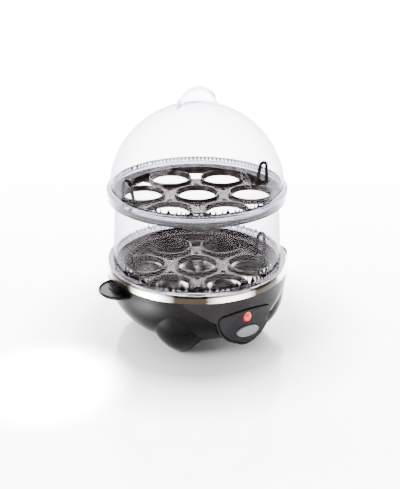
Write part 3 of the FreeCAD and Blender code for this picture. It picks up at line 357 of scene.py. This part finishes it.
def dress_nodes():
    """Every frame node gets its finish."""
    black = gloss_plastic("housing_black", (0.0015, 0.0012, 0.0012), 0.2, 0.28, ior=1.14)
    screw = plain_metal("zinc", (0.62, 0.62, 0.60), 0.25, 0.5)
    tray = satin_plastic("tray_black", (0.012, 0.008, 0.007), 0.2, 0.3, grain=900, depth=0.00002, ior=1.2)
    rubber_black = rubber("pad_rubber", (0.016, 0.016, 0.017), 0.7)
    smoke = (0.30, 0.28, 0.36)
    dome = clear_plastic("clear_dome", (0.99, 0.99, 0.995), 0.02, smoke, density=130.0, ior=1.03)
    ring = clear_plastic("clear_ring", (0.98, 0.98, 0.985), 0.02, smoke, density=150.0, ior=1.03)
    # Darker copy of the clear plastic for the flanges: painted shade
    flange = clear_plastic("clear_flange_painted_shade", (0.50, 0.475, 0.545), 0.03, (0.26, 0.24, 0.34), density=100.0)
    fin = clear_plastic("clear_lilac", (0.95, 0.94, 0.985), 0.02, (0.25, 0.22, 0.42), density=260.0, ior=1.06)
    button = satin_plastic("button_silver", (0.085, 0.082, 0.086), 0.28, 0.38, grain=1200, depth=0.00004)
    low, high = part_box("indicator_lens")
    finishes = {
        "base_housing": black,
        "inlet_boss": black,
        "foot_lobes": black,
        "inner_posts": satin_plastic("post_black", (0.016, 0.016, 0.017), 0.4, 0.6),
        "left_handle": black,
        "right_handle": black,
        "bottom_cover": satin_plastic("cover_black", (0.018, 0.018, 0.019), 0.4, 0.6),
        "bottom_screws": screw,
        "rubber_feet": rubber_black,
        "cord_inlet": rubber_black,
        "heating_plate": brushed_metal_painted_sheen("dish_steel", (0.80, 0.74, 0.64), 0.18, 0.36),
        "plate_gasket": rubber("gasket_silicone", (0.33, 0.32, 0.31), 0.6),
        "plate_nuts": screw,
        "heating_element": plain_metal("cast_aluminium", (0.62, 0.63, 0.64), 0.4, 0.65),
        "thermostat": plain_metal("thermostat_steel", (0.66, 0.65, 0.62), 0.25, 0.4),
        "thermostat_clip": plain_metal("spring_steel", (0.5, 0.5, 0.5), 0.25, 0.45),
        "thermal_fuse": plain_metal("fuse_metal", (0.7, 0.68, 0.6), 0.2, 0.4),
        "control_panel": gloss_plastic("panel_grey", (0.011, 0.010, 0.011), 0.2, 0.3, ior=1.12),
        "indicator_lens": lit_lens("lens_red", low.z, high.z),
        "indicator_lamp": clear_plastic("lamp_glass", (0.95, 0.6, 0.45), 0.05),
        "power_button": button,
        "button_spring": plain_metal("spring_wire", (0.55, 0.55, 0.54), 0.2, 0.35),
        "power_switch": satin_plastic("switch_black", (0.022, 0.022, 0.023), 0.45, 0.6),
        "switch_bracket": plain_metal("bracket_steel", (0.6, 0.6, 0.58), 0.3, 0.5),
        "terminal_block": satin_plastic("block_white", (0.78, 0.77, 0.72), 0.4, 0.55),
        "internal_leads": satin_plastic("lead_red", (0.42, 0.03, 0.02), 0.4, 0.55),
        "lower_egg_tray": tray,
        "lower_tray_loops": tray,
        "upper_egg_tray": tray,
        "upper_tray_loops": tray,
        "tier_ring": ring,
        "dome_lid": dome,
        "lid_handle": fin,
    }
    for node, material in finishes.items():
        paint(node, material)
    # Lighter copy of the housing black for the apron: a painted reflection of the pale table
    apron = gloss_plastic("apron_painted_reflection_grey", (0.010, 0.0092, 0.0095), 0.16, 0.26, ior=1.12)
    paint("front_console", black, apron, on_painted_sheen_apron)
    paint("tier_ring", ring, flange, on_ring_flange)
    paint("dome_lid", dome, flange, on_dome_flange)
    for node in ("tier_ring", "dome_lid", "lid_handle"):
        nodes[node].visible_shadow = False


# Stage, light and camera

def stage_floor():
    """Large pale sheet that the boiler stands on, turned up far behind it."""
    flat_end = sheet_back - sheet_curve
    profile = [(-sheet_reach, 0.0), (flat_end, 0.0)]
    for step in range(1, sheet_steps + 1):
        turn = math.pi / 2 * step / sheet_steps
        distance = flat_end + sheet_curve * math.sin(turn)
        profile.append((distance, sheet_curve - sheet_curve * math.cos(turn)))
    profile.append((sheet_back, sheet_rise))
    away = Vector((-math.sin(view_azimuth), math.cos(view_azimuth), 0.0))
    side = Vector((away.y, -away.x, 0.0))
    verts = []
    for distance, height in profile:
        for across in (-sheet_reach, sheet_reach):
            verts.append(away * distance + side * across + Vector((0, 0, height)))
    faces = [(2 * i, 2 * i + 1, 2 * i + 3, 2 * i + 2) for i in range(len(profile) - 1)]
    mesh = bpy.data.meshes.new("stage_floor")
    mesh.from_pydata([tuple(vert) for vert in verts], [], faces)
    mesh.update()
    for polygon in mesh.polygons:
        polygon.use_smooth = True
    floor = bpy.data.objects.new("stage_floor", mesh)
    bpy.context.scene.collection.objects.link(floor)
    look = Look("stage_white", sheet_color, 0.1, IOR=sheet_ior)
    look.gloss(look.noise(scale=9, detail=3, rough=0.5), low=0.06, high=0.12)
    split = look.add("ShaderNodeSeparateXYZ")
    look.join(look.place, split.inputs[0])
    x, y = split.outputs[:2]
    # The table glows only from the painted shade's edge outwards, so close round the boiler it stays dim as
    # painted shade
    ring = look.spread(look.length(x, y), 0.0, table_glow, painted_shade_edge, painted_shade_fade_end)
    behind = look.math("ADD", look.math("MULTIPLY", x, away.x), look.math("MULTIPLY", y, away.y))
    sweep = look.spread(behind, 0.0, back_glow, 0.0, back_reach)
    # Painted pool of light on the table at the left, whose reflection gives the bowl its highlight
    left = (side * math.sin(painted_pool_azimuth) - away * math.cos(painted_pool_azimuth)) * painted_pool_distance
    across = look.math("SUBTRACT", x, left.x)
    along = look.math("SUBTRACT", y, left.y)
    share = look.spread(look.length(across, along), 1.0, 0.0, painted_pool_core, painted_pool_reach)
    painted_pool = look.math("MULTIPLY", look.math("MULTIPLY", share, share), painted_pool_glow)
    glow = look.math("ADD", look.math("ADD", ring, sweep), painted_pool)
    look.join(glow, look.shader.inputs["Emission Strength"])
    look.set("Emission Color", (1.0, 1.0, 1.0, 1.0))
    mesh.materials.append(look.material)


def area_light(name, size, watts, place):
    """Soft rectangular light pointed at the boiler."""
    data = bpy.data.lights.new(name, "AREA")
    data.shape = "RECTANGLE"
    data.size, data.size_y = size
    data.energy = watts
    lamp = bpy.data.objects.new(name, data)
    lamp.location = place
    lamp.rotation_euler = (light_aim - place).to_track_quat("-Z", "Y").to_euler()
    bpy.context.scene.collection.objects.link(lamp)


def view_point(distance, azimuth, elevation):
    """Point about the target, at an azimuth from the front and an elevation."""
    level = distance * math.cos(elevation)
    height = distance * math.sin(elevation)
    return target + Vector((level * math.sin(azimuth), -level * math.cos(azimuth), height))


def light_stage():
    """White surroundings with a large key at the left, a strip at the right and a top light."""
    world = bpy.data.worlds.new("studio")
    world.use_nodes = True
    background = world.node_tree.nodes["Background"]
    background.inputs[0].default_value = (1.0, 1.0, 1.0, 1.0)
    background.inputs[1].default_value = world_strength
    bpy.context.scene.world = world
    key = view_point(key_distance, view_azimuth + key_turn, key_elevation)
    area_light("key_left", key_size, key_watts, key)
    strip = view_point(strip_distance, view_azimuth + strip_turn, strip_elevation)
    area_light("strip_right", strip_size, strip_watts, strip)
    area_light("top_soft", top_size, top_watts, top_place)


def set_camera():
    """Camera that repeats the photograph's view."""
    data = bpy.data.cameras.new("photo_view")
    data.sensor_fit = "AUTO"
    data.sensor_width = sensor
    data.lens = focal_pixels / photo_height * sensor
    data.shift_x = (photo_width / 2 - axis_pixel_x) / photo_height
    data.clip_start = near_clip
    data.clip_end = far_clip
    camera = bpy.data.objects.new("photo_view", data)
    place = view_point(view_distance, view_azimuth, view_elevation)
    camera.location = place
    camera.rotation_euler = (target - place).to_track_quat("-Z", "Y").to_euler()
    bpy.context.scene.collection.objects.link(camera)
    bpy.context.scene.camera = camera


set_camera()
stage_floor()
light_stage()
dress_nodes()
